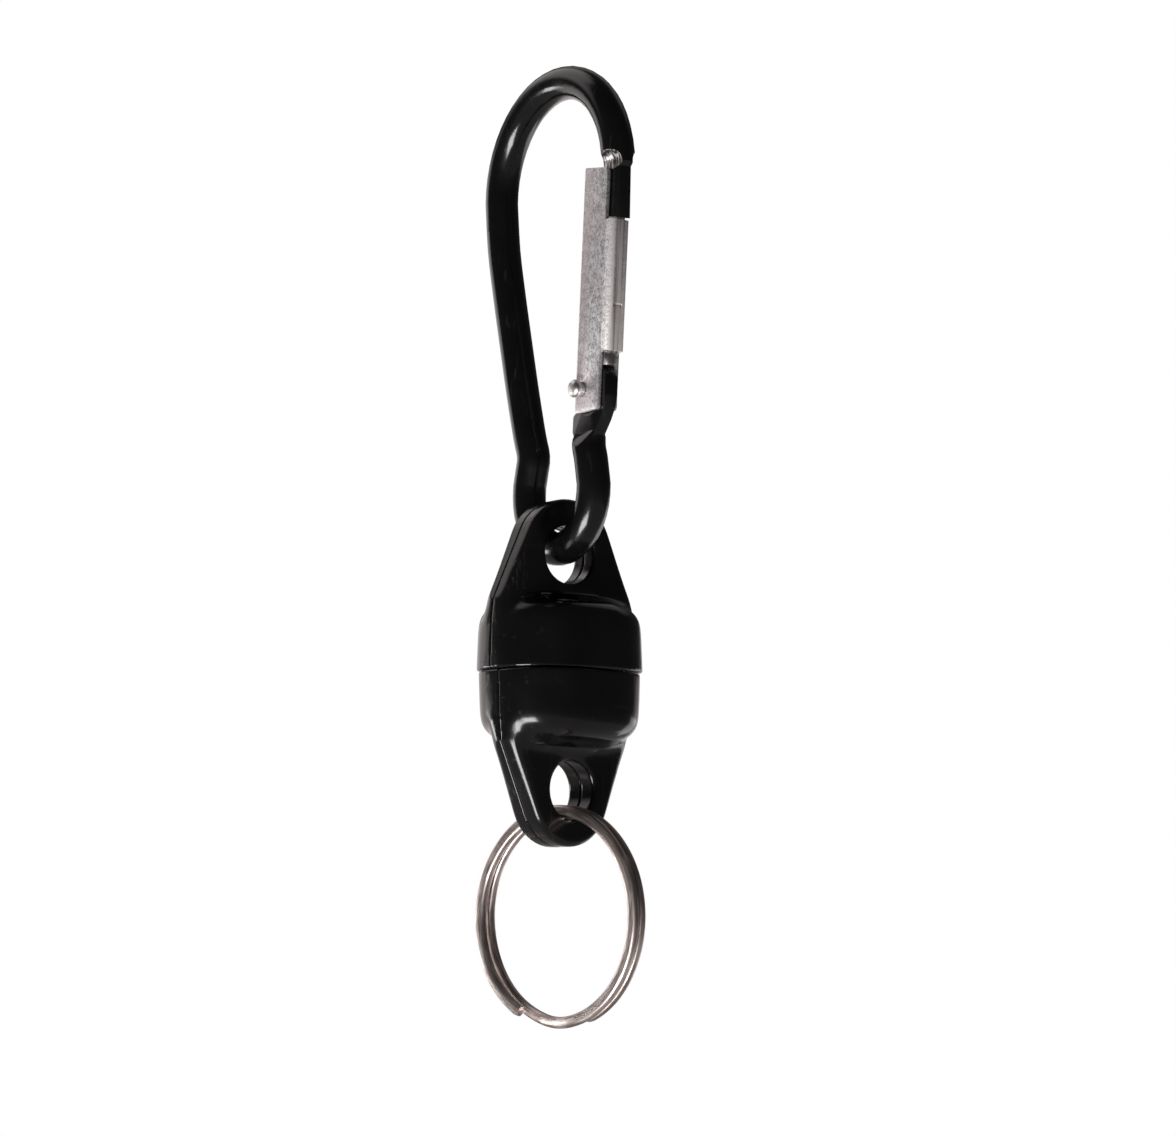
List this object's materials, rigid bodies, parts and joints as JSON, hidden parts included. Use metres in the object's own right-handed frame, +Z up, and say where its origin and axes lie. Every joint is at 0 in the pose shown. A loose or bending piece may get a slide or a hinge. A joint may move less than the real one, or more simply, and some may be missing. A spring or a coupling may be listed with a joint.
{
  "type": "magnetic quick-release carabiner keyring",
  "caption": "Pear-shaped snap carabiner with a sprung gate, holding a magnetic pull-apart clip whose lower half carries a split key ring.",
  "frame": {"origin": "top of the inside of the carabiner's bow, where the object hangs, on the carabiner's middle plane", "axes": "+Z up; the carabiner lies in the YZ plane with its gate towards -Y; the magnetic clip's broad face looks towards -Y"},
  "size_m": [0.0234, 0.0336, 0.1345],
  "materials": {
    "black_rod": "gloss black anodised aluminium rod",
    "bare_gate": "tumbled bare aluminium sheet",
    "steel": "bright steel",
    "plastic": "gloss black moulded plastic",
    "magnet": "nickel-plated magnet",
    "cup": "nickel-plated steel cup",
    "nickel": "nickel-plated steel wire"
  },
  "bodies": {
    "carabiner": {"carabiner_body": "black_rod", "gate_pivot_pin": "steel"},
    "gate": {"gate": "bare_gate", "gate_spring": "steel"},
    "gate_plunger": {"gate_plunger": "steel"},
    "upper_half": {"upper_shell_front": "plastic", "upper_shell_back": "plastic", "upper_magnet_cup": "cup", "upper_magnet": "magnet"},
    "lower_half": {"lower_shell_front": "plastic", "lower_shell_back": "plastic", "lower_magnet_cup": "cup", "lower_magnet": "magnet"},
    "split_ring": {"split_ring": "nickel"}
  },
  "joints": [
    {"name": "gate_hinge", "type": "hinge", "parent": "carabiner", "child": "gate", "pos_m": [0, -0.00805, -0.04255], "axis": [-1, 0, 0], "range_deg": [0, 28], "stiffness_Nm_per_rad": 0.02, "springref_deg": -45.84},
    {"name": "plunger_slide", "type": "slide", "parent": "gate", "child": "gate_plunger", "axis": [0, -0.0767, 0.9971], "range_m": [0, 0.0003], "deforming": ["gate_spring"]},
    {"name": "upper_swing", "type": "hinge", "parent": "carabiner", "child": "upper_half", "pos_m": [0, -0.0007, -0.0638], "axis": [0, 1, 0], "range_deg": [-90, 90]},
    {"name": "magnet_pull", "type": "slide", "parent": "upper_half", "child": "lower_half", "axis": [0, 0, -1], "range_m": [0, 0.05], "stiffness_N_per_m": 4, "springref_m": -0.25},
    {"name": "ring_swing", "type": "hinge", "parent": "lower_half", "child": "split_ring", "pos_m": [0, -0.00045, -0.0973], "axis": [-0.1564, 0.9877, 0], "range_deg": [-85, 85]}
  ],
  "couplings": [
    {"joint": "plunger_slide", "follows": "gate_hinge", "m_per_rad": 0.000573}
  ]
}
